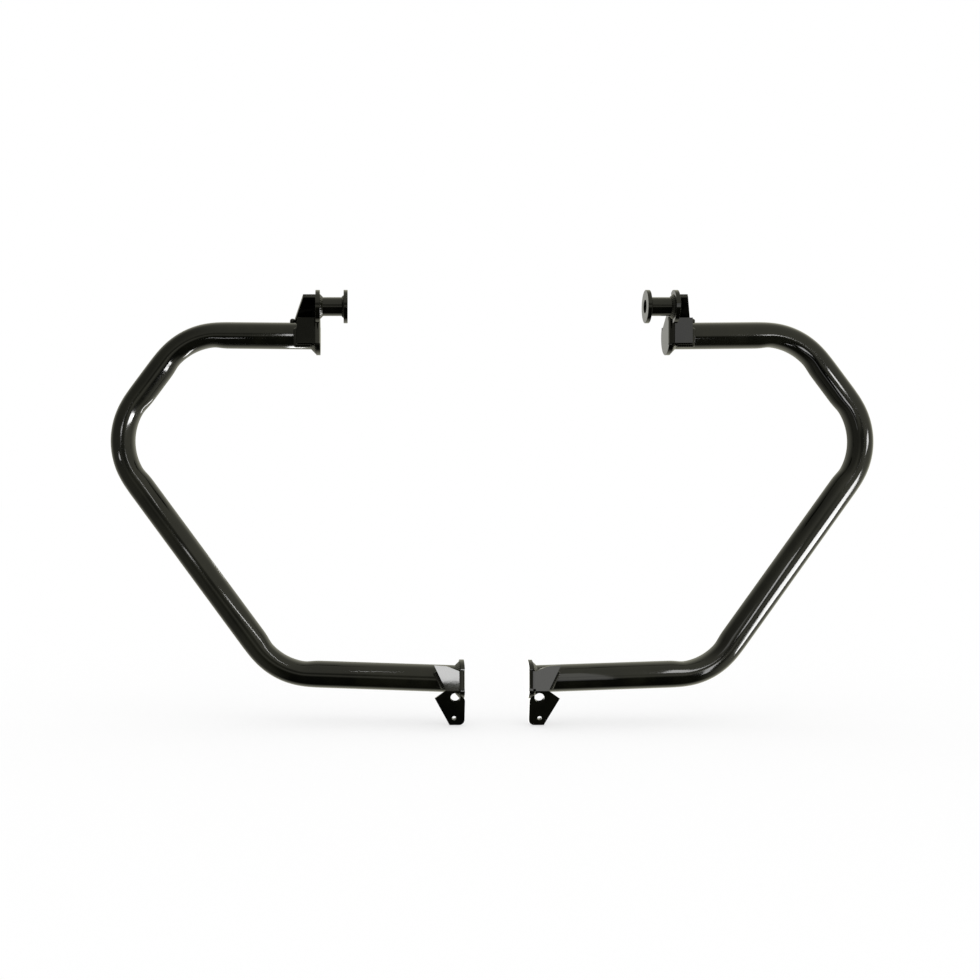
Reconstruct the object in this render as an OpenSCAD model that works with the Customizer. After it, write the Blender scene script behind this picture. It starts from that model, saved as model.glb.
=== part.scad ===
// Pair of motorcycle crash bars: one bent tube each side, with a folded
// bracket and a bolt spacer at the top and a folded bracket with a bolt ear below.
// X runs across the bike, -Y faces the viewer, +Z is up. Every part is drawn for
// the +X side about the bike's middle plane, and the other side is its mirror image.

/* [Tube] */
// Outer diameter of the bent tube
tube_d = 25.4; // [22:0.1:28]
// Wall thickness of the tube
tube_wall = 2; // [1.5:0.5:3]
// Radius of the bends on the tube's centre line
bend_clr = 63.5; // [55:0.5:70]
// Loss of tube radius where the bender draws the tube
bend_loss = 0.15; // [0.1:0.05:0.4]
// Length by which the round straights run into each bend
bend_lap = 0.5; // [0.3:0.1:1]

/* [Bar shape] */
// Distance between the inner faces of the two upper brackets
upper_gap = 330; // [300:1:360]
// Distance between the inner faces of the two lower brackets
lower_gap = 60; // [50:1:90]
// Height of the upper tube end above the lower tube end
end_rise = 325; // [300:1:340]
// Length of the top run, from tube end to corner
top_run = 126; // [110:1:140]
// Rise of the top run from its end to the corner
top_run_rise = 2.5; // [0:0.1:8]
// Distance of the outer corner outboard of the top corner
outer_reach = 76; // [65:1:90]
// Drop of the outer corner below the top corner
outer_drop = 102; // [90:0.5:110]
// Length of the bottom run, from tube end to corner
bottom_run = 171; // [155:0.5:180]
// Rise of the bottom run from its end to the corner
bottom_run_rise = 4.1; // [0:0.1:8]
// Depth of the loop behind the lower tube end
loop_back = 36; // [25:1:45]
// Depth of the upper tube end behind the lower one
upper_end_back = 24; // [15:1:30]
// Depth of the bottom corner behind the lower tube end
bottom_corner_back = 14; // [5:1:20]

/* [Bracket plate] */
// Thickness of the bracket plate
plate_t = 4; // [3:0.5:5]
// Inner radius of the folds, and the gap it leaves round the tube
fold_r = 1.5; // [1:0.1:2]
// Width of the relief slots at the ends of the folds
relief = 1.2; // [0.8:0.1:1.6]
// Clearance between the back flange's outer corner and the tube
tube_fit = 0.1; // [0.05:0.05:0.5]

/* [Upper bracket] */
// Distance of the spacer axis in front of the tube axis
spacer_forward = 31; // [28:0.5:34]
// Height of the spacer axis above the tube axis
spacer_up = 24; // [22:0.5:29]
// Radius of the plate round the spacer
boss_r = 15.5; // [14:0.5:17]
// Width of the front flange across the tube
front_flange_w = 22; // [18:0.5:26]
// Height of the front flange's top edge above the tube axis
front_flange_top = 15.5; // [14:0.5:16]
// Depth of the front flange's bottom edge below the tube axis
front_flange_low = 8.5; // [7:0.5:10]
// Width of the back flange at its foot
back_flange_foot_w = 26; // [22:0.5:30]
// Width of the back flange at its top
back_flange_top_w = 16; // [13:0.5:19]
// Length of the back flange above the tube's tangent line
back_flange_len = 39; // [34:0.5:40]
// Length of the back flange below the tube's tangent line
back_flange_tail = 6; // [3:0.5:9]

/* [Spacer] */
// Length of the spacer, from bracket face to washer face
spacer_len = 26; // [22:0.5:32]
// Outer diameter of the spacer sleeve
sleeve_d = 17.5; // [17:0.1:19]
// Bore of the spacer, a clear hole for a 12 mm bolt
bore_d = 12.5; // [12:0.1:13]
// Diameter of the spacer washer
washer_d = 31; // [26:0.5:34]
// Thickness of the spacer washer
washer_t = 3.8; // [3:0.1:5]
// Depth of the turned seat of the sleeve in the washer
washer_seat = 1.5; // [1:0.1:2]
// Clearance between the sleeve and its seat in the washer
seat_gap = 0.05; // [0.02:0.01:0.1]

/* [Lower bracket] */
// Height of the web's top edge above the tube axis at its outer end
web_top = 15; // [13.5:0.5:17]
// Height of the web's top edge where it leaves the fold
web_top_inner = 9.5; // [8:0.5:11]
// Depth of the web's top edge at its middle below its outer end
web_top_dip = 1; // [0.5:0.1:2]
// Width of the web along its top edge
web_top_w = 29; // [26:0.5:32]
// Width of the web at its crease
web_crease_w = 17.5; // [16:0.5:20]
// Depth of the crease below the tube axis
crease_low = 8.5; // [7:0.5:10]
// Angle by which the ear leans back from the web
ear_lean = 15; // [8:1:20]
// Length of the ear below its crease
ear_len = 34.5; // [32:0.5:42]
// Distance of the ear's outer corner from the bracket's inner face
ear_corner_w = 28; // [25:0.5:31]
// Distance of the ear's outer corner below its crease
ear_corner_low = 7.5; // [6:0.5:10]
// Width of the ear at its bottom
ear_tip_w = 14; // [13:0.5:17]
// Radius of the ear's rounded corners
ear_round = 5; // [3:0.5:6]
// Bolt hole of the ear, a clear hole for an 8 mm bolt
bolt_hole_d = 9; // [8.4:0.1:10]
// Distance of the bolt hole from the bracket's inner face
bolt_hole_in = 9; // [8.5:0.1:10]
// Distance of the bolt hole below the crease
bolt_hole_low = 6; // [5:0.1:9]
// Small hole in the tip, by which the bar hangs while it is painted
hang_hole_d = 4; // [3:0.5:5]
// Distance of the small hole above the ear's bottom edge
hang_hole_up = 8; // [7:0.5:10]
// Distance of the small hole from the bracket's inner face
hang_hole_in = 9.8; // [9:0.1:11]

/* [Welds] */
// Leg of the fillet weld round the tube ends
tube_weld = 4.5; // [3:0.1:5]
// Width of plate left bare between that weld and the plate's edge
weld_margin = 0.5; // [0.3:0.1:1]
// Leg of the fillet weld between the spacer and its bracket
spacer_weld = 3; // [2:0.1:4]
// Leg of the fillet weld between sleeve and washer
washer_weld = 2; // [1:0.1:3]
// Radius of the beads that join the flange edges to the tube
bead_r = 2.6; // [2.2:0.1:3]
// Distance of the beads' axes from the plate edges that they cover
bead_set = 1; // [0.7:0.1:1.3]
// Depth of the front flange bead's axis behind the tube's front line
bead_sink = 1.2; // [0.9:0.1:1.5]
// Height of the front flange bead's end above the tube axis
bead_end = 4; // [3:0.5:6]

/* [Hidden] */

$fn = 96;
PAINT = "#23241f";
WELD = "#2e2f2a";

// Sizes that the brackets share with the tube
tube_r = tube_d / 2;
fold_line = tube_r;
flange_in = tube_r + fold_r;
flange_out = flange_in + plate_t;
disc_r = flange_out;
fold_end = plate_t + fold_r;

// The line from the tube axis to the spacer axis, seen from the side
spacer_dist = norm([spacer_forward, spacer_up]);
spacer_dir = atan2(spacer_up, spacer_forward);
back_dir = spacer_dir - asin((disc_r - boss_r) / spacer_dist);
back_lean = 90 - back_dir;

// The frame: the box's middle across and in depth, and the ears' bottom edges at Z = 0
ear_bottom = crease_low + ear_len * cos(ear_lean);
front_reach = max(spacer_forward + max(boss_r, washer_d / 2) - upper_end_back, flange_out);
depth_mid = (loop_back + tube_r - front_reach) / 2;

// Where each tube end meets its bracket, and the corners of the centre line between them
lower_end = [lower_gap / 2 + plate_t, -depth_mid, ear_bottom];
upper_end = [upper_gap / 2 + plate_t, upper_end_back - depth_mid, ear_bottom + end_rise];
top_corner = [upper_end[0] + top_run, loop_back - depth_mid, upper_end[2] + top_run_rise];
outer_corner = [top_corner[0] + outer_reach, loop_back - depth_mid, top_corner[2] - outer_drop];
bottom_corner = [lower_end[0] + bottom_run, bottom_corner_back - depth_mid,
    lower_end[2] + bottom_run_rise];
PATH = [upper_end, top_corner, outer_corner, bottom_corner, lower_end];

function unit(v) = v / norm(v);
function heading(i) = unit(PATH[i + 1] - PATH[i]);
function turn(i) = acos(heading(i - 1) * heading(i));
function setback(i) = i == 0 || i == len(PATH) - 1 ? 0 : bend_clr * tan(turn(i) / 2);

// The back flange folds further out where the tube would drift against its outer corner
tube_drift = (back_flange_foot_w - plate_t) / heading(0)[0]
    * (heading(0)[1] * sin(back_dir) + heading(0)[2] * cos(back_dir));
back_fold_line = max(tube_r, tube_r / heading(0)[0] + tube_drift + tube_fit - fold_r);
back_in = back_fold_line + fold_r;

// The point at which a line from p touches the circle round c, on its lower side
function touch(p, c, r) =
    let (gap = c - p, far = norm(gap), reach = sqrt(far * far - r * r))
    let (dir = atan2(gap[1], gap[0]) - asin(r / far))
    p + reach * [cos(dir), sin(dir)];

// Places the children with +Z along the heading, at a point of the path
module along(p, dir) {
    translate(p) rotate([0, acos(dir[2]), atan2(dir[1], dir[0])]) children();
}

// Places the children in the plane of a bend: +Z is its axis, +X runs to its start
module at_bend(i) {
    start = heading(i - 1);
    axis = unit(cross(start, heading(i)));
    out = cross(start, axis);
    translate(PATH[i] - start * setback(i) - out * bend_clr)
        rotate([atan2(start[2], axis[2]), -asin(out[2]), atan2(out[1], out[0])]) children();
}

// A rod along the whole bent path, slimmer in the bends; over lengthens it past both ends
module bent_rod(r, over) {
    last = len(PATH) - 2;
    for (i = [0:last]) {
        from = setback(i) - (i == 0 ? over : bend_lap);
        to = norm(PATH[i + 1] - PATH[i]) - setback(i + 1) + (i == last ? over : bend_lap);
        along(PATH[i] + from * heading(i), heading(i)) cylinder(r = r, h = to - from);
    }
    for (i = [1:last]) at_bend(i) rotate_extrude(angle = turn(i))
        translate([bend_clr, 0]) circle(r - bend_loss);
}

// The end of the tube that a weld or a flange bead lies on
module end_rod(end, dir, from, to) {
    along(end + from * dir, dir) cylinder(r = tube_r, h = to - from);
}

module at_upper() translate([upper_gap / 2, upper_end[1], upper_end[2]]) children();
module at_lower() translate([lower_gap / 2, lower_end[1], lower_end[2]]) children();

// An outline seen from the side (forward, up), as a plate from x0 to x1
module side_plate(x0, x1) {
    translate([x1, 0, 0]) rotate([90, 0, -90]) linear_extrude(x1 - x0) children();
}

// An outline seen from the front (outboard, up), as a plate from f0 to f1 in front of the axis
module front_plate(f0, f1) {
    translate([0, -f0, 0]) rotate([90, 0, 0]) linear_extrude(f1 - f0) children();
}

// The quarter turn of plate between an end plate and a flange, from z0 to z1
module fold(z0, z1, line = fold_line) {
    translate([fold_end, -line, z0]) rotate([0, 0, 180]) rotate_extrude(angle = 90)
        translate([fold_r, 0]) square([plate_t, z1 - z0]);
}

// A rod with round ends between two points
module bead(p, q, r = bead_r) {
    for (e = [p, q]) translate(e) sphere(r, $fn = 48);
    along(p, unit(q - p)) cylinder(r = r, h = norm(q - p));
}

// Ring of fillet weld round a bar of radius r, its flat side at z = 0 and -skirt below it
module weld_ring(r, leg, skirt = 0) {
    rotate_extrude() polygon([[r, -skirt], [r + leg + skirt, -skirt], [r, leg]]);
}

module right_tube() color(PAINT) difference() {
    intersection() {
        bent_rod(tube_r, tube_r);
        tube_side_of_brackets();
    }
    bent_rod(tube_r - tube_wall, 2 * tube_r);
}

// All space outboard of the brackets' outer faces, with the upper and lower face each at its x
module tube_side_of_brackets() {
    split = ear_bottom + end_rise / 2;
    reach = outer_corner[0] + tube_d;
    translate([upper_end[0], -reach, split]) cube([reach, 2 * reach, reach]);
    translate([lower_end[0], -reach, split - reach]) cube([reach, 2 * reach, reach]);
}

// Side outline of the upper bracket's end plate: disc on the tube, arm, and round end for the spacer
module upper_end_plate_outline() {
    boss = [spacer_forward, spacer_up];
    back = [-sin(back_dir), cos(back_dir)];
    notch = [fold_line, front_flange_top + relief];
    difference() {
        union() {
            circle(disc_r);
            translate(boss) circle(boss_r);
            polygon([[0, 0], notch, touch(notch, boss, boss_r), boss, boss + boss_r * back,
                disc_r * back]);
        }
        translate([fold_line, -front_flange_low - relief])
            square([disc_r, front_flange_top + front_flange_low + 2 * relief]);
        rotate(back_dir) translate([-back_flange_tail - relief, back_fold_line])
            square([back_flange_len + back_flange_tail + 2 * relief, disc_r]);
        translate(boss) circle(d = bore_d);
    }
}

module right_upper_bracket() color(PAINT) at_upper() {
    side_plate(0, plate_t) upper_end_plate_outline();
    fold(-front_flange_low, front_flange_top);
    front_plate(flange_in, flange_out) translate([fold_end, -front_flange_low])
        square([front_flange_w - fold_end, front_flange_top + front_flange_low]);
    rotate([back_lean, 0, 0]) mirror([0, 1, 0]) {
        fold(-back_flange_tail, back_flange_len, back_fold_line);
        front_plate(back_in, back_in + plate_t) polygon([[fold_end, -back_flange_tail],
            [back_flange_foot_w, -back_flange_tail], [back_flange_foot_w, 0],
            [back_flange_top_w, back_flange_len], [fold_end, back_flange_len]]);
    }
}

module at_spacer() at_upper() translate([0, -spacer_forward, spacer_up]) rotate([0, -90, 0]) children();

module right_spacer_sleeve() color(PAINT) at_spacer() difference() {
    cylinder(d = sleeve_d, h = spacer_len - washer_t + washer_seat);
    translate([0, 0, -plate_t]) cylinder(d = bore_d, h = spacer_len + plate_t);
}

module right_spacer_washer() color(PAINT) at_spacer() difference() {
    translate([0, 0, spacer_len - washer_t]) cylinder(d = washer_d, h = washer_t);
    cylinder(d = bore_d, h = spacer_len + plate_t);
    cylinder(d = sleeve_d + 2 * seat_gap, h = spacer_len - washer_t + washer_seat);
}

// Side outline of the lower bracket's end plate, cut back where the web folds off it
module lower_end_plate_outline() difference() {
    circle(disc_r);
    translate([fold_line, -crease_low - relief])
        square([disc_r, web_top_inner + crease_low + 2 * relief]);
}

// Side profile of web and ear (forward, up), mitred at the crease
module web_and_ear_profile() {
    back = [-sin(ear_lean), -cos(ear_lean)];
    across = [cos(ear_lean), -sin(ear_lean)];
    crease = [flange_in, -crease_low];
    polygon([[flange_in, web_top], [flange_out, web_top],
        [flange_out, -crease_low - plate_t * tan(ear_lean / 2)],
        crease + (ear_len + plate_t) * back + plate_t * across,
        crease + (ear_len + plate_t) * back, crease]);
}

// Front outline of web and ear (outboard, up), notched just below the crease
module web_and_ear_outline() {
    notch = -crease_low - plate_t * tan(ear_lean / 2) / 2;
    shoulder = -crease_low - fold_end;
    polygon([[fold_end, web_top_inner], [(fold_end + web_top_w) / 2, web_top - web_top_dip],
        [web_top_w, web_top], [web_crease_w, notch], [ear_corner_w, notch - ear_corner_low],
        [ear_tip_w, -ear_bottom], [ear_round, -ear_bottom], [0, ear_round - ear_bottom],
        [0, shoulder - ear_round], [ear_round, shoulder], [fold_end, shoulder]]);
    translate([ear_round, ear_round - ear_bottom]) circle(ear_round);
    translate([ear_round, shoulder - ear_round]) circle(ear_round);
}

// A round hole square to the ear, at a distance from the inner face and below the crease
module ear_hole(d, across, low) {
    translate([0, -flange_in, -crease_low]) rotate([ear_lean, 0, 0])
        translate([across, plate_t, -low]) rotate([90, 0, 0]) cylinder(d = d, h = 3 * plate_t);
}

module right_lower_bracket() color(PAINT) at_lower() {
    side_plate(0, plate_t) lower_end_plate_outline();
    fold(fold_r - crease_low, web_top_inner);
    difference() {
        intersection() {
            side_plate(-plate_t, ear_corner_w + plate_t) web_and_ear_profile();
            front_plate(0, 2 * flange_out) web_and_ear_outline();
        }
        ear_hole(bolt_hole_d, bolt_hole_in, bolt_hole_low);
        ear_hole(hang_hole_d, hang_hole_in, ear_len - hang_hole_up);
    }
}

// A weld round a tube end: what is left of the ring beside the bracket and the tube
module tube_weld_ring(end, dir) difference() {
    intersection() {
        along(end, dir) weld_ring(tube_r, tube_weld, plate_t / 2);
        translate(end) rotate([0, 90, 0]) cylinder(r = disc_r - weld_margin, h = tube_d);
    }
    children();
}

module right_upper_tube_weld() color(WELD)
    tube_weld_ring(upper_end, heading(0)) right_upper_bracket();

module right_lower_tube_weld() color(WELD)
    tube_weld_ring(lower_end, -heading(len(PATH) - 2)) right_lower_bracket();

// Bead along the front flange's bottom and outer edges
module right_front_flange_weld() color(WELD) difference() {
    at_upper() {
        under = bead_sink - tube_r;
        low = -front_flange_low - bead_set;
        corner = [front_flange_w + bead_r / 3, under, low];
        bead([fold_end + tube_weld, under, low], corner);
        bead(corner, [corner[0], bead_set - flange_in, bead_end]);
    }
    right_upper_bracket();
    end_rod(upper_end, heading(0), 0, front_flange_w * 2);
    right_upper_tube_weld();
}

// Bead on the back flange's outer edge, where it passes closest to the tube
module right_back_flange_weld() color(WELD) difference() {
    at_upper() rotate([back_lean, 0, 0])
        bead([back_flange_foot_w + bead_r / 3, back_in, bead_set - back_flange_tail],
            [back_flange_foot_w + bead_r / 3, back_in, back_flange_tail - bead_set]);
    right_upper_bracket();
    end_rod(upper_end, heading(0), 0, back_flange_foot_w * 2);
}

module right_spacer_weld() color(WELD) at_spacer() weld_ring(sleeve_d / 2, spacer_weld);

module right_washer_weld() color(WELD) at_spacer() translate([0, 0, spacer_len - washer_t])
    mirror([0, 0, 1]) weld_ring(sleeve_d / 2, washer_weld);

// Bead along the web's slanted edge
module right_web_weld() color(WELD) difference() {
    at_lower() {
        slope = (web_top_w - web_crease_w) / (web_top + crease_low);
        edge = web_crease_w + slope * crease_low + bead_r / 2;
        low = 2 * bead_set - crease_low;
        foot = [edge + low * slope, bead_set - flange_in, low];
        along(foot, unit([slope, 0, 1])) cylinder(r = bead_r, h = 2 * crease_low);
    }
    right_lower_bracket();
    end_rod(lower_end, -heading(len(PATH) - 2), 0, web_top_w * 2);
}

module left_tube() mirror([1, 0, 0]) right_tube();
module left_upper_bracket() mirror([1, 0, 0]) right_upper_bracket();
module left_spacer_sleeve() mirror([1, 0, 0]) right_spacer_sleeve();
module left_spacer_washer() mirror([1, 0, 0]) right_spacer_washer();
module left_lower_bracket() mirror([1, 0, 0]) right_lower_bracket();
module left_upper_tube_weld() mirror([1, 0, 0]) right_upper_tube_weld();
module left_front_flange_weld() mirror([1, 0, 0]) right_front_flange_weld();
module left_back_flange_weld() mirror([1, 0, 0]) right_back_flange_weld();
module left_spacer_weld() mirror([1, 0, 0]) right_spacer_weld();
module left_washer_weld() mirror([1, 0, 0]) right_washer_weld();
module left_lower_tube_weld() mirror([1, 0, 0]) right_lower_tube_weld();
module left_web_weld() mirror([1, 0, 0]) right_web_weld();

right_tube();
right_upper_bracket();
right_spacer_sleeve();
right_spacer_washer();
right_lower_bracket();
right_upper_tube_weld();
right_front_flange_weld();
right_back_flange_weld();
right_spacer_weld();
right_washer_weld();
right_lower_tube_weld();
right_web_weld();
left_tube();
left_upper_bracket();
left_spacer_sleeve();
left_spacer_washer();
left_lower_bracket();
left_upper_tube_weld();
left_front_flange_weld();
left_back_flange_weld();
left_spacer_weld();
left_washer_weld();
left_lower_tube_weld();
left_web_weld();
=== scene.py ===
import math

import bmesh
import bpy
from mathutils import Matrix, Vector


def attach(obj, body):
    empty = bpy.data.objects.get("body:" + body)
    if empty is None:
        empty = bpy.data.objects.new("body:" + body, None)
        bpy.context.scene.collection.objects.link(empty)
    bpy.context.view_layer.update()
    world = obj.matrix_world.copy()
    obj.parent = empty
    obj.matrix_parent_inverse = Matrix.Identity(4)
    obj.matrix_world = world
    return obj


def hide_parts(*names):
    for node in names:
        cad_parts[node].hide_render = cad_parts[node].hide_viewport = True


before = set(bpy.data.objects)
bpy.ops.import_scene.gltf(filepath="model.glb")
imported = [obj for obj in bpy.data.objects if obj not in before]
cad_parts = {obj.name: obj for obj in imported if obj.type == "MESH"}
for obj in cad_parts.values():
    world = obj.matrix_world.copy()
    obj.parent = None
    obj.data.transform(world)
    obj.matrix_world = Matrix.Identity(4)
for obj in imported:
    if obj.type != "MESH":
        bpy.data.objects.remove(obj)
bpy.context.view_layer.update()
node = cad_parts

# Bent tubes. Each bar is one length of round steel tube, pulled round three bends on a press
# bender, which draws the inner side of each bend flat, with a shoulder where the flat starts.
# The whole bar is powder coated gloss black after welding.


class Channel:
    """One shader socket that takes part in Python arithmetic."""

    def __init__(self, finish, socket):
        self.finish = finish
        self.socket = socket

    def maths(self, operation, *values):
        return self.finish.add("ShaderNodeMath", {"operation": operation}, dict(enumerate(values)))

    def __add__(self, other):
        return self.maths("ADD", self, other)

    def __radd__(self, other):
        return self.maths("ADD", other, self)

    def __sub__(self, other):
        return self.maths("SUBTRACT", self, other)

    def __rsub__(self, other):
        return self.maths("SUBTRACT", other, self)

    def __mul__(self, other):
        return self.maths("MULTIPLY", self, other)

    def __rmul__(self, other):
        return self.maths("MULTIPLY", other, self)

    def ramp(self, start, end, low=0.0, high=1.0):
        """Smooth step from low at start to high at end."""
        settings = {"interpolation_type": "SMOOTHSTEP"}
        sizes = {"Value": self, "From Min": start, "From Max": end, "To Min": low, "To Max": high}
        return self.finish.add("ShaderNodeMapRange", settings, sizes)


class Finish:
    """A material or world node tree; add() makes one node and returns one of its outputs."""

    def __init__(self, tree):
        self.tree = tree
        self.tree.nodes.clear()

    def add(self, kind, settings=None, sizes=None, output=0):
        made = self.tree.nodes.new(kind)
        for key, value in (settings or {}).items():
            setattr(made, key, value)
        for key, value in (sizes or {}).items():
            if isinstance(value, Channel):
                self.tree.links.new(value.socket, made.inputs[key])
            else:
                made.inputs[key].default_value = value
        return Channel(self, made.outputs[output]) if len(made.outputs) else None

    def mix(self, share, low, high):
        """The colour low, going over to the colour high as share goes from 0 to 1."""
        sizes = {0: share, 6: low, 7: high}
        return self.add("ShaderNodeMix", {"data_type": "RGBA"}, sizes, output=2)


# The coat's tones, its roughness where it is clear and where it is cloudy, and the heights of
# its orange peel and dust specks against those of its slow waves, which count as 1.
DEEP_BLACK = (0.0016, 0.0017, 0.0012, 1)
OLIVE_BLACK = (0.0042, 0.0043, 0.0026, 1)
DUST_GREY = (0.03, 0.03, 0.026, 1)
CLEAR_GLOSS = 0.07
CLOUDY_GLOSS = 0.13
PEEL_RELIEF = 0.35
SPECK_RELIEF = 0.6
BUMP_STRENGTH = 0.35
BUMP_DEPTH = 0.0001


def black_paint(name, ripple=0.0):
    """Gloss black powder coat with orange peel; ripple is the height of weld waves under it."""
    material = bpy.data.materials.new(name)
    material.use_nodes = True
    coat = Finish(material.node_tree)
    place = coat.add("ShaderNodeTexCoord", output="Object")

    def noise(per_metre, detail=2.0, roughness=0.5):
        sizes = {"Vector": place, "Scale": per_metre, "Detail": detail, "Roughness": roughness}
        return coat.add("ShaderNodeTexNoise", None, sizes)

    peel = noise(420.0, roughness=0.45)
    flow = noise(60.0, detail=1.0)
    cloud = noise(24.0, detail=4.0, roughness=0.6)
    grains = coat.add("ShaderNodeTexVoronoi", None, {"Vector": place, "Scale": 260.0})
    dusty = noise(33.0)
    speck = grains.ramp(0.05, 0.02) * dusty.ramp(0.56, 0.7)
    black = coat.mix(cloud.ramp(0.35, 0.65), DEEP_BLACK, OLIVE_BLACK)
    relief = peel * PEEL_RELIEF + flow + speck * SPECK_RELIEF
    if ripple:
        waves = noise(900.0, detail=3.0, roughness=0.6)
        relief = relief + waves * ripple
    bump = coat.add("ShaderNodeBump", None,
                    {"Height": relief, "Strength": BUMP_STRENGTH, "Distance": BUMP_DEPTH})
    surface = coat.add("ShaderNodeBsdfPrincipled", None, {
        "Base Color": coat.mix(speck * 0.5, black, DUST_GREY),
        "Roughness": cloud.ramp(0.3, 0.7, CLEAR_GLOSS, CLOUDY_GLOSS) + speck * 0.3,
        "IOR": 1.5,
        "Normal": bump})
    coat.add("ShaderNodeOutputMaterial", None, {"Surface": surface})
    return material


paint = black_paint("gloss_black_powder_coat")

# The corners of the right bar's centre line and the sizes of its making, in mm. Its ends run
# on a little into the end plates. The left bar mirrors it.
TUBE_R = 12.7
BEND_R = 63.5
INNER_FLAT = 1.35
OUTER_FLAT = 0.45
SHOULDER = 9.0
CORNERS = [Vector(corner) for corner in (
    (169, 10.9, 366.824),
    (295, 22.9, 369.324),
    (371, 22.9, 267.324),
    (205, 0.9, 45.924),
    (34, -13.1, 41.824))]
END_REACH = 1.4
RUN_STEP = 2.5
BEND_STEP = 1.8
AROUND = 96
END_EDGE = math.radians(50)


def in_metres(point, sign):
    """A point of the right bar, or its mirror image on the left bar where sign is -1."""
    return (sign * point.x / 1000, point.y / 1000, point.z / 1000)


def drawn(depth):
    """Share of the bend's flat reached at a depth into the bend; below 0 is outside it."""
    t = min(1.0, max(0.0, (depth + SHOULDER) / (2 * SHOULDER)))
    return t * t * (3 - 2 * t)


def run_marks(start, end, heading, bends):
    """Marks of a straight run; bends holds where on it each bend begins, 0 or 1, and its side."""
    marks = []
    length = (end - start).length
    count = round(length / RUN_STEP)
    for k in range(count):
        share = k / count
        near = [(abs(share - place) * length, side) for place, side in bends]
        gap, towards = min(near, key=lambda bend: bend[0])
        marks.append((start.lerp(end, share), heading, towards, drawn(-gap)))
    return marks


def bend_marks(start, heading, side, turn):
    """Marks of a bend towards its side, and where it ends, with the side there."""
    marks = []
    axis = heading.cross(side)
    centre = start + side * BEND_R
    count = round(BEND_R * turn / BEND_STEP)
    for k in range(count):
        swing = Matrix.Rotation(turn * k / count, 3, axis)
        depth = BEND_R * turn * min(k, count - k) / count
        marks.append((centre + swing @ (-side * BEND_R), swing @ heading, swing @ side, drawn(depth)))
    swing = Matrix.Rotation(turn, 3, axis)
    return marks, centre + swing @ (-side * BEND_R), swing @ side


def centre_line():
    """Marks from end to end: place, heading, side towards the nearest bend, and its flatness."""
    headings = [(b - a).normalized() for a, b in zip(CORNERS, CORNERS[1:])]
    marks = []
    bends = []
    start = CORNERS[0] - headings[0] * END_REACH
    for corner, heading, following in zip(CORNERS[1:], headings, headings[1:]):
        turn = heading.angle(following)
        back = BEND_R * math.tan(turn / 2)
        end = corner - heading * back
        side = (following - heading * following.dot(heading)).normalized()
        marks += run_marks(start, end, heading, bends + [(1.0, side)])
        bent, start, side = bend_marks(end, heading, side, turn)
        marks += bent
        bends = [(0.0, side)]
    end = CORNERS[-1] + headings[-1] * END_REACH
    marks += run_marks(start, end, headings[-1], bends)
    marks.append((end, headings[-1], side, 0.0))
    return marks


def new_piece(name, mesh, finish):
    """Puts a worked mesh into the scene as one smooth piece with its finish."""
    data = bpy.data.meshes.new(name)
    mesh.to_mesh(data)
    mesh.free()
    data.shade_smooth()
    data.materials.append(finish)
    piece = bpy.data.objects.new(name, data)
    bpy.context.scene.collection.objects.link(piece)
    return piece


def bent_tube(name, sign):
    """Sweeps the drawn section along the centre line; sign -1 mirrors it to the left bar."""
    rings = []
    mesh = bmesh.new()
    for place, heading, towards, flat in centre_line():
        up = heading.cross(Vector((0, 1, 0))).normalized()
        back = up.cross(heading).normalized()
        ring = []
        for k in range(AROUND):
            angle = 2 * math.pi * k / AROUND
            spoke = up * math.cos(angle) + back * math.sin(angle)
            # The bender's flat is narrow on the inner side of the bend, broad and slight outside.
            inward = spoke.dot(towards)
            loss = INNER_FLAT * max(0, inward) ** 3 + OUTER_FLAT * max(0, -inward) ** 2
            point = place + spoke * (TUBE_R - flat * loss)
            ring.append(mesh.verts.new(in_metres(point, sign)))
        rings.append(ring)
    for a, b in zip(rings, rings[1:]):
        for k in range(AROUND):
            mesh.faces.new((a[k], a[k - 1], b[k - 1], b[k]))
    mesh.faces.new(rings[0])
    mesh.faces.new(rings[-1][::-1])
    bmesh.ops.recalc_face_normals(mesh, faces=mesh.faces)
    piece = new_piece(name, mesh, paint)
    piece.data.set_sharp_from_angle(angle=END_EDGE)
    return piece


for hand, sign in (("right", 1), ("left", -1)):
    tube = bent_tube(f"{hand}_bent_tube", sign)
    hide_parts(f"{hand}_tube")
    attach(tube, "root")

# Upper brackets, spacers and lower brackets.
# Each bracket is one 4 mm steel plate, laser cut and folded round the tube end. The spacer
# is a turned sleeve in a washer. Under the powder coat every cut edge is slightly rounded.
EDGE_ROUND = 0.5
EDGE_STEPS = 3
CREASE = math.radians(13)
SAME_PLACE = 0.002
SAME_PLANE = math.radians(0.6)


def solid_mesh(part):
    """A copy of the solid's mesh, with corners that lie on each other joined."""
    mesh = bmesh.new()
    mesh.from_mesh(node[part].data)
    bmesh.ops.remove_doubles(mesh, verts=mesh.verts, dist=SAME_PLACE / 1000)
    return mesh


def painted_steel(part):
    """The same form as a bracket or spacer solid, with the coat's rounded edges."""
    mesh = solid_mesh(part)
    bmesh.ops.dissolve_limit(mesh, angle_limit=SAME_PLANE, verts=mesh.verts, edges=mesh.edges)
    piece = new_piece(f"{part}_painted", mesh, paint)
    piece.data.set_sharp_from_angle(angle=CREASE)
    rounding = piece.modifiers.new("rounded edges", "BEVEL")
    rounding.limit_method = "ANGLE"
    rounding.angle_limit = CREASE
    rounding.width = EDGE_ROUND / 1000
    rounding.segments = EDGE_STEPS
    rounding.harden_normals = True
    return piece


for hand in ("right", "left"):
    for part in ("upper_bracket", "spacer_sleeve", "spacer_washer", "lower_bracket"):
        piece = painted_steel(f"{hand}_{part}")
        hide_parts(f"{hand}_{part}")
        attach(piece, "root")

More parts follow.
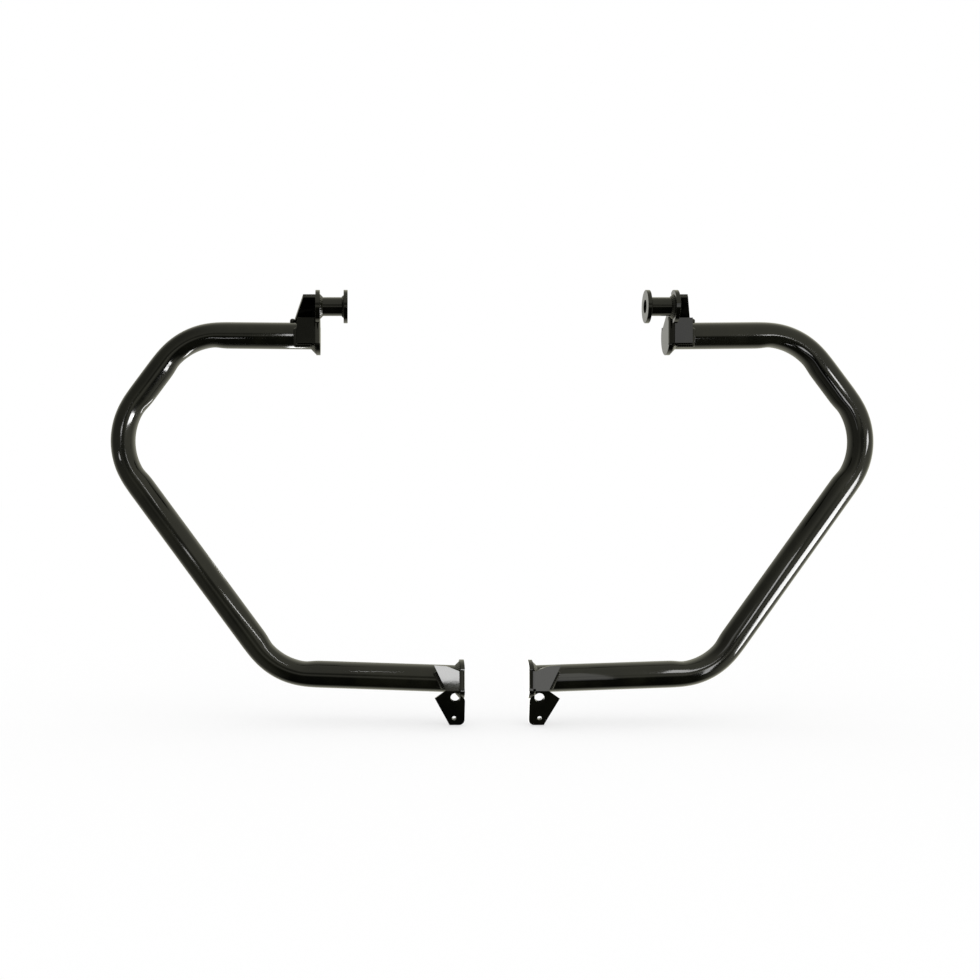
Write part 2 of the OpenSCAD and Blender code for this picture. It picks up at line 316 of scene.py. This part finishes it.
# Weld beads.
# The tube ends, the flange edges and both ends of the spacer are welded by hand. Each bead
# is a row of overlapping scallops, about 2 mm long each, under the same powder coat.
SCALLOP = 2.2
SCALLOP_DEPTH = 0.22
BEAD_LIFT = 0.12
BEAD_GRAIN = 0.35
RING_SOFTENING = 4
EDGE_SOFTENING = 14
SPACER_MIDDLE = Vector((154, -20.1, 390.824))
# At these radii a ring's turn holds a whole number of scallops: 42, 28 and 27.
TUBE_RING_R = 14.7
SPACER_RING_R = 9.8
WASHER_RING_R = 9.45
BACK_FLANGE_EDGE = Vector((0, 0.77, -0.64))
WEB_EDGE = Vector((0, 0, 1))

beaded_paint = black_paint("powder_coat_over_weld", ripple=1.6)


def weld_bead(part, centre, axis, radius, softening):
    """A weld solid rounded off, with scallops round an axis, or along it where radius is 0."""
    piece = new_piece(f"{part}_bead", solid_mesh(part), beaded_paint)
    fine = piece.modifiers.new("fine mesh", "REMESH")
    fine.mode = "VOXEL"
    fine.voxel_size = BEAD_GRAIN / 1000
    soft = piece.modifiers.new("soft", "SMOOTH")
    soft.factor = 0.5
    soft.iterations = softening
    depsgraph = bpy.context.evaluated_depsgraph_get()
    built = bpy.data.meshes.new_from_object(piece.evaluated_get(depsgraph))
    piece.modifiers.clear()
    piece.data = built
    built.name = f"{part}_bead"
    side = axis.orthogonal().normalized()
    other = axis.cross(side)
    lifts = []
    for vertex in built.vertices:
        arm = vertex.co - centre
        if radius:
            along = math.atan2(arm.dot(other), arm.dot(side)) * radius
        else:
            along = arm.dot(axis) * 1000
        valley = 1 - abs(math.sin(math.pi * along / SCALLOP))
        lifts.append(vertex.normal * (BEAD_LIFT - SCALLOP_DEPTH * valley) / 1000)
    for vertex, lift in zip(built.vertices, lifts):
        vertex.co += lift
    built.shade_smooth()
    return piece


for hand, sign in (("right", 1), ("left", -1)):
    top = Vector(in_metres(CORNERS[0], sign))
    low = Vector(in_metres(CORNERS[-1], sign))
    spacer = Vector(in_metres(SPACER_MIDDLE, sign))
    across = Vector((sign, 0, 0))
    beads = (
        ("upper_tube_weld", top, across, TUBE_RING_R, RING_SOFTENING),
        ("lower_tube_weld", low, across, TUBE_RING_R, RING_SOFTENING),
        ("spacer_weld", spacer, across, SPACER_RING_R, RING_SOFTENING),
        ("washer_weld", spacer, across, WASHER_RING_R, RING_SOFTENING),
        ("front_flange_weld", top, across, 0, EDGE_SOFTENING),
        ("back_flange_weld", top, BACK_FLANGE_EDGE, 0, EDGE_SOFTENING),
        ("web_weld", low, WEB_EDGE, 0, EDGE_SOFTENING))
    for part, centre, axis, radius, softening in beads:
        bead = weld_bead(f"{hand}_{part}", centre, axis, radius, softening)
        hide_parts(f"{hand}_{part}")
        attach(bead, "root")

# Camera.
# It looks level along +Y from in front of the left bar's inner end, with its image plane
# parallel to the pair, so a shift brings the pair to the middle of the frame.
camera_data = bpy.data.cameras.new("camera")
camera_data.sensor_width = 36
camera_data.lens = 51.43
camera_data.shift_x = 0.1459
camera_data.shift_y = 0.0102
camera = bpy.data.objects.new("camera", camera_data)
camera.location = (-0.1396, -1.3291, 0.2100)
camera.rotation_euler = (math.radians(90), 0, 0)
bpy.context.scene.collection.objects.link(camera)
bpy.context.scene.camera = camera
bpy.context.scene.view_settings.view_transform = "Standard"

# Floor.
# A plain white sheet just under the lower ears, which keeps the bars' soft shadow. It glows
# a little, so that it stays as white as the backdrop.
FLOOR_Z = -0.0005
FLOOR_REACH = 40
FLOOR_GLOW = 0.55
WHITE = (1, 1, 1, 1)
sheet = bpy.data.meshes.new("floor")
sheet_corners = [(x * FLOOR_REACH, y * FLOOR_REACH, FLOOR_Z)
                 for x, y in ((-1, -1), (1, -1), (1, 1), (-1, 1))]
sheet.from_pydata(sheet_corners, [], [(0, 1, 2, 3)])
floor = bpy.data.objects.new("floor", sheet)
bpy.context.scene.collection.objects.link(floor)
white = bpy.data.materials.new("white_sheet")
white.use_nodes = True
page = Finish(white.node_tree)
matt = page.add("ShaderNodeBsdfDiffuse", None, {"Color": WHITE})
glowing = page.add("ShaderNodeEmission", None, {"Color": WHITE, "Strength": 1.0})
cover = page.add("ShaderNodeMixShader", None, {0: FLOOR_GLOW, 1: matt, 2: glowing})
page.add("ShaderNodeOutputMaterial", None, {"Surface": cover})
sheet.materials.append(white)
floor.visible_glossy = False
floor.visible_diffuse = False

# Tent.
# White cloth all round, at a strength of 1. What the gloss paint mirrors of it is warmer in
# tone, duller on the left than on the right, and dark in front and below, where it is open.
MIRRORED_WHITE = (1.0, 0.99, 0.8, 1)
DARK_BELOW = 0.985
DARK_AHEAD = 0.75
tent = bpy.data.worlds.new("white_tent")
tent.use_nodes = True
bpy.context.scene.world = tent
sky = Finish(tent.node_tree)
look = sky.add("ShaderNodeTexCoord", output="Generated")
side, depth, height = (
    sky.add("ShaderNodeSeparateXYZ", None, {"Vector": look}, output=axis) for axis in "XYZ")

# Degrees below level: 0 straight in front of the pair, 90 straight down and 180 behind it.
down = height * -1
below = down.maths("ARCTAN2", down, depth * -1) * (180 / math.pi)
band = below.ramp(2, 18) * below.ramp(114, 90)
middle = side.ramp(-0.75, -0.35) * side.ramp(0.8, 0.5)
opening = depth.ramp(-0.9, -0.975) * height.ramp(-0.02, 0.1)

left_to_right = side.ramp(-0.65, 0.1, 0.25, 0.7)
behind = depth.ramp(0.1, 0.6, 0.0, 0.35)
straight_behind = depth.ramp(0.85, 0.98, 0.0, 0.5)
cloth = left_to_right + behind - straight_behind
mirrored = cloth * (1 - band * middle * DARK_BELOW) * (1 - opening * DARK_AHEAD)

glossy = sky.add("ShaderNodeLightPath", output="Is Glossy Ray")
level = 1 - glossy * (1 - mirrored)
tint = sky.mix(glossy, WHITE, MIRRORED_WHITE)
glow = sky.add("ShaderNodeBackground", None, {"Color": tint, "Strength": level})
sky.add("ShaderNodeOutputWorld", None, {"Surface": glow})

# Strip lamps.
# Small soft lamps that only the gloss mirrors. Each stands off a spot on a piece, in the
# direction in which that spot mirrors it to the camera, and lights only the pieces it names.


def strip_lamp(name, pieces, spot, away, run, length, width, gap, strength):
    """A lamp at a gap from a spot, turned to it, with its length along the run; sizes in metres."""
    data = bpy.data.lights.new(name, "AREA")
    data.shape = "RECTANGLE"
    data.size = length
    data.size_y = width
    data.energy = strength * math.pi * length * width
    data.diffuse_factor = 0
    data.use_shadow = False
    lamp = bpy.data.objects.new(name, data)
    back = Vector(away).normalized()
    along = Vector(run) - back * back.dot(Vector(run))
    along.normalize()
    axes = Matrix((along, back.cross(along), back)).transposed()
    lamp.matrix_world = Matrix.Translation(Vector(spot) + back * gap) @ axes.to_4x4()
    lamp.visible_camera = False
    lit = bpy.data.collections.new(name)
    for piece in pieces:
        lit.objects.link(bpy.data.objects[piece])
    lamp.light_linking.receiver_collection = lit
    bpy.context.scene.collection.objects.link(lamp)


RIGHT_TUBE = ["right_bent_tube"]
strip_lamp("right_slant", RIGHT_TUBE, spot=(0.290, 0.000, 0.151), away=(0.849, -0.439, -0.294),
           run=(-0.25, -0.81, 0.53), length=0.95, width=0.42, gap=1.46, strength=20)
strip_lamp("right_slant_line", RIGHT_TUBE, spot=(0.258, -0.004, 0.121), away=(0.098, -0.957, 0.274),
           run=(-0.14, -0.28, -0.95), length=0.12, width=0.04, gap=0.25, strength=8)
strip_lamp("right_outer_bend", RIGHT_TUBE, spot=(0.356, 0.010, 0.270), away=(0.76, -0.64, 0.10),
           run=(-0.77, -0.59, -0.24), length=0.1, width=0.035, gap=0.3, strength=15)
strip_lamp("right_upper_run", RIGHT_TUBE, spot=(0.329, 0.010, 0.324), away=(0.347, -0.933, 0.094),
           run=(0.62, 0, -0.78), length=0.03, width=0.06, gap=0.3, strength=18)
strip_lamp("right_lower_bend", RIGHT_TUBE, spot=(0.201, -0.012, 0.050), away=(0.489, -0.835, -0.253),
           run=(-0.22, -0.39, 0.89), length=0.12, width=0.018, gap=0.2, strength=8)
strip_lamp("right_bottom_line", RIGHT_TUBE, spot=(0.072, -0.022, 0.045), away=(0.310, -0.930, 0.197),
           run=(-0.15, 0.16, 0.98), length=0.33, width=0.07, gap=0.28, strength=1.0)

LEFT_TUBE = ["left_bent_tube"]
strip_lamp("left_outer_bend", LEFT_TUBE, spot=(-0.344, 0.011, 0.292), away=(0.662, -0.718, -0.214),
           run=(-0.65, -0.69, 0.32), length=0.9, width=0.24, gap=1.45, strength=28)
strip_lamp("left_top_bend", LEFT_TUBE, spot=(-0.312, 0.012, 0.337), away=(0.629, -0.642, -0.438),
           run=(-0.54, -0.77, 0.34), length=0.14, width=0.012, gap=0.29, strength=26)
strip_lamp("left_slant_line", LEFT_TUBE, spot=(-0.290, -0.001, 0.158), away=(-0.236, -0.970, 0.064),
           run=(-0.82, 0.16, -0.54), length=0.06, width=0.018, gap=0.3, strength=7)
strip_lamp("left_top_run", LEFT_TUBE, spot=(-0.195, 0.001, 0.367), away=(-0.231, -0.973, 0.024),
           run=(0.03, 0.02, 1.00), length=0.08, width=0.013, gap=0.3, strength=10)
strip_lamp("left_top_underside", LEFT_TUBE, spot=(-0.187, 0.007, 0.356), away=(-0.105, 0.491, -0.865),
           run=(-0.07, -0.88, -0.48), length=0.10, width=0.018, gap=0.2, strength=14)
strip_lamp("left_edge_high", LEFT_TUBE, spot=(-0.355, 0.010, 0.278), away=(-0.272, -0.951, 0.144),
           run=(-0.95, 0.29, 0.14), length=0.05, width=0.012, gap=0.3, strength=10)
strip_lamp("left_edge_low", LEFT_TUBE, spot=(-0.357, 0.009, 0.251), away=(-0.712, -0.702, 0.001),
           run=(-0.67, 0.67, -0.33), length=0.06, width=0.02, gap=0.3, strength=9)

LEFT_LOWER = ["left_lower_bracket_painted"]
RIGHT_LOWER = ["right_lower_bracket_painted"]
RIGHT_UPPER = ["right_upper_bracket_painted"]
RIGHT_WASHER = ["right_spacer_washer_painted"]
LEFT_SPACER_BEAD = ["left_spacer_weld_bead"]
strip_lamp("left_web", LEFT_LOWER, spot=(-0.047, -0.031, 0.052), away=(0.071, -0.989, -0.126),
           run=(1, 0.07, 0), length=0.045, width=0.0215, gap=0.1, strength=14)
strip_lamp("right_web", RIGHT_LOWER, spot=(0.047, -0.031, 0.045), away=(-0.27, -0.95, -0.125),
           run=(1, -0.28, 0), length=0.32, width=0.075, gap=0.25, strength=2.0)
strip_lamp("right_front_flange", RIGHT_UPPER, spot=(0.18, -0.008, 0.368), away=(0.21, -0.97, 0.11),
           run=(1, 0.2, 0), length=0.12, width=0.12, gap=0.3, strength=1.1)
strip_lamp("right_lower_disc", RIGHT_LOWER, spot=(0.03, -0.013, 0.042), away=(-0.127, 0.984, -0.126),
           run=(1, 0.13, 0), length=0.3, width=0.3, gap=0.5, strength=2.2)
strip_lamp("right_end_plate", RIGHT_UPPER + RIGHT_WASHER, spot=(0.165, 0.011, 0.367),
           away=(-0.218, 0.968, 0.114), run=(1, 0.22, 0), length=0.3, width=0.3, gap=0.5, strength=0.5)
strip_lamp("left_spacer_weld", LEFT_SPACER_BEAD, spot=(-0.162, -0.03, 0.392), away=(0.8, -0.1, -0.5),
           run=(0, 1, 0), length=0.3, width=0.25, gap=0.3, strength=12)
